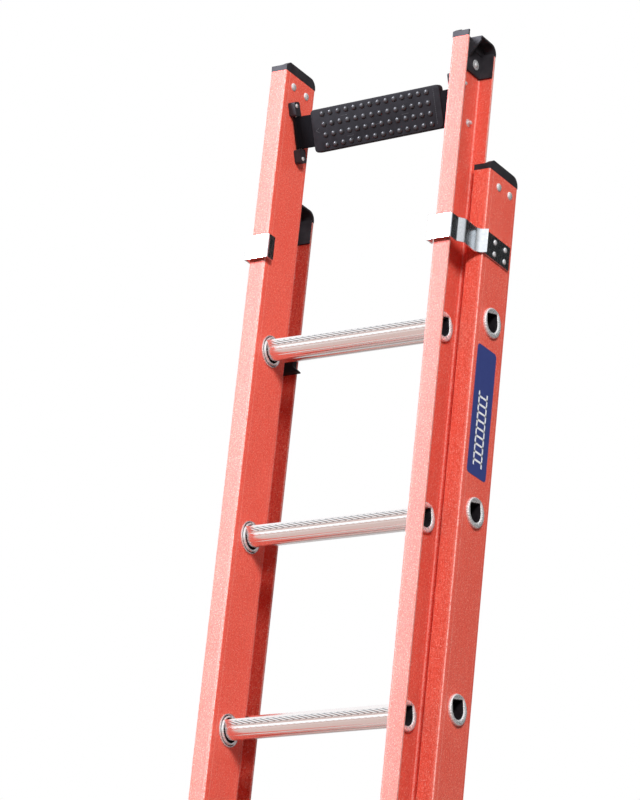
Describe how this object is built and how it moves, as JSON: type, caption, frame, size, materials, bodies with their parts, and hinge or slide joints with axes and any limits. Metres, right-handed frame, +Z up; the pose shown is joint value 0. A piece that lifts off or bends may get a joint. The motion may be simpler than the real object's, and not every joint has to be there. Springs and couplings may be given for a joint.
{
  "type": "extension ladder",
  "caption": "Two-section fibreglass extension ladder: the fly slides up in front of the base, with rung locks, swivel shoes and a padded pole strap across its top.",
  "frame": {"origin": "centre of the bounding box, on the ground under the shoes", "axes": "+Z up the rails, +Y from the climber's side to the wall side, +X to the climber's right"},
  "size_m": [0.4286, 0.1556, 3.1505],
  "materials": {
    "fibreglass": "pultruded glass fibre, satin, fine lengthwise fibre grain",
    "aluminium": "mill finish, ribbed rungs and plain castings",
    "zinc_steel": "bright zinc plate",
    "black_plastic": "moulded, lightly grained",
    "black_rubber": "moulded, matt, studded",
    "black_webbing": "woven polyester strap",
    "label_blue": "printed vinyl sticker with a plain pictogram"
  },
  "bodies": {
    "base": {"base_cap_left": "black_plastic", "base_cap_right": "black_plastic", "base_rail_left": "fibreglass", "base_rail_right": "fibreglass", "base_rung_1": "aluminium", "base_rung_2": "aluminium", "base_rung_3": "aluminium", "base_rung_4": "aluminium", "base_rung_5": "aluminium", "base_rung_6": "aluminium", "base_rung_7": "aluminium", "base_rung_8": "aluminium", "base_rung_9": "aluminium", "foot_bolt_left": "zinc_steel", "foot_bolt_right": "zinc_steel", "foot_bracket_left": "aluminium", "foot_bracket_right": "aluminium", "guide_block_left": "black_plastic", "guide_block_right": "black_plastic", "guide_bracket_left": "zinc_steel", "guide_bracket_right": "zinc_steel", "label": "label_blue"},
    "foot_left": {"foot_shoe_left": "aluminium", "foot_sole_left": "black_rubber"},
    "hook_left": {"lock_hook_left": "aluminium"},
    "tongue_left": {"lock_tongue_left": "aluminium"},
    "foot_right": {"foot_shoe_right": "aluminium", "foot_sole_right": "black_rubber"},
    "hook_right": {"lock_hook_right": "aluminium"},
    "tongue_right": {"lock_tongue_right": "aluminium"},
    "fly": {"fly_bottom_cap_left": "black_plastic", "fly_bottom_cap_right": "black_plastic", "fly_cap_left": "black_plastic", "fly_cap_right": "black_plastic", "fly_rail_left": "fibreglass", "fly_rail_right": "fibreglass", "fly_rung_1": "aluminium", "fly_rung_2": "aluminium", "fly_rung_3": "aluminium", "fly_rung_4": "aluminium", "fly_rung_5": "aluminium", "fly_rung_6": "aluminium", "fly_rung_7": "aluminium", "fly_rung_8": "aluminium", "fly_rung_9": "aluminium", "lock_body_left": "aluminium", "lock_body_right": "aluminium", "lock_pin_left": "zinc_steel", "lock_pin_right": "zinc_steel", "lock_spring_left": "zinc_steel", "lock_spring_right": "zinc_steel", "strap_lug_lower_left": "black_plastic", "strap_lug_lower_right": "black_plastic", "strap_lug_upper_left": "black_plastic", "strap_lug_upper_right": "black_plastic", "strap_pad": "black_rubber", "strap_pin_left": "zinc_steel", "strap_pin_right": "zinc_steel", "strap_webbing": "black_webbing"}
  },
  "joints": [
    {"name": "fly_slide", "type": "slide", "parent": "base", "child": "fly", "axis": [0, 0, 1], "range_m": [0, 1.76]},
    {"name": "foot_left_swivel", "type": "hinge", "parent": "base", "child": "foot_left", "pos_m": [-0.1908, 0.03578, 0.055], "axis": [1, 0, 0], "range_deg": [-75, 45]},
    {"name": "hook_left_swing", "type": "hinge", "parent": "fly", "child": "hook_left", "pos_m": [-0.134, -0.01773, 0.716], "axis": [1, 0, 0], "range_deg": [-41, 0], "stiffness_Nm_per_rad": 0.12, "springref_deg": 57.3},
    {"name": "tongue_left_swing", "type": "hinge", "parent": "hook_left", "child": "tongue_left", "pos_m": [-0.142, 0.05978, 0.659], "axis": [1, 0, 0], "range_deg": [0, 80]},
    {"name": "foot_right_swivel", "type": "hinge", "parent": "base", "child": "foot_right", "pos_m": [0.1908, 0.03578, 0.055], "axis": [1, 0, 0], "range_deg": [-75, 45]},
    {"name": "hook_right_swing", "type": "hinge", "parent": "fly", "child": "hook_right", "pos_m": [0.134, -0.01773, 0.716], "axis": [1, 0, 0], "range_deg": [-41, 0], "stiffness_Nm_per_rad": 0.12, "springref_deg": 57.3},
    {"name": "tongue_right_swing", "type": "hinge", "parent": "hook_right", "child": "tongue_right", "pos_m": [0.142, 0.05978, 0.659], "axis": [1, 0, 0], "range_deg": [0, 80]}
  ]
}
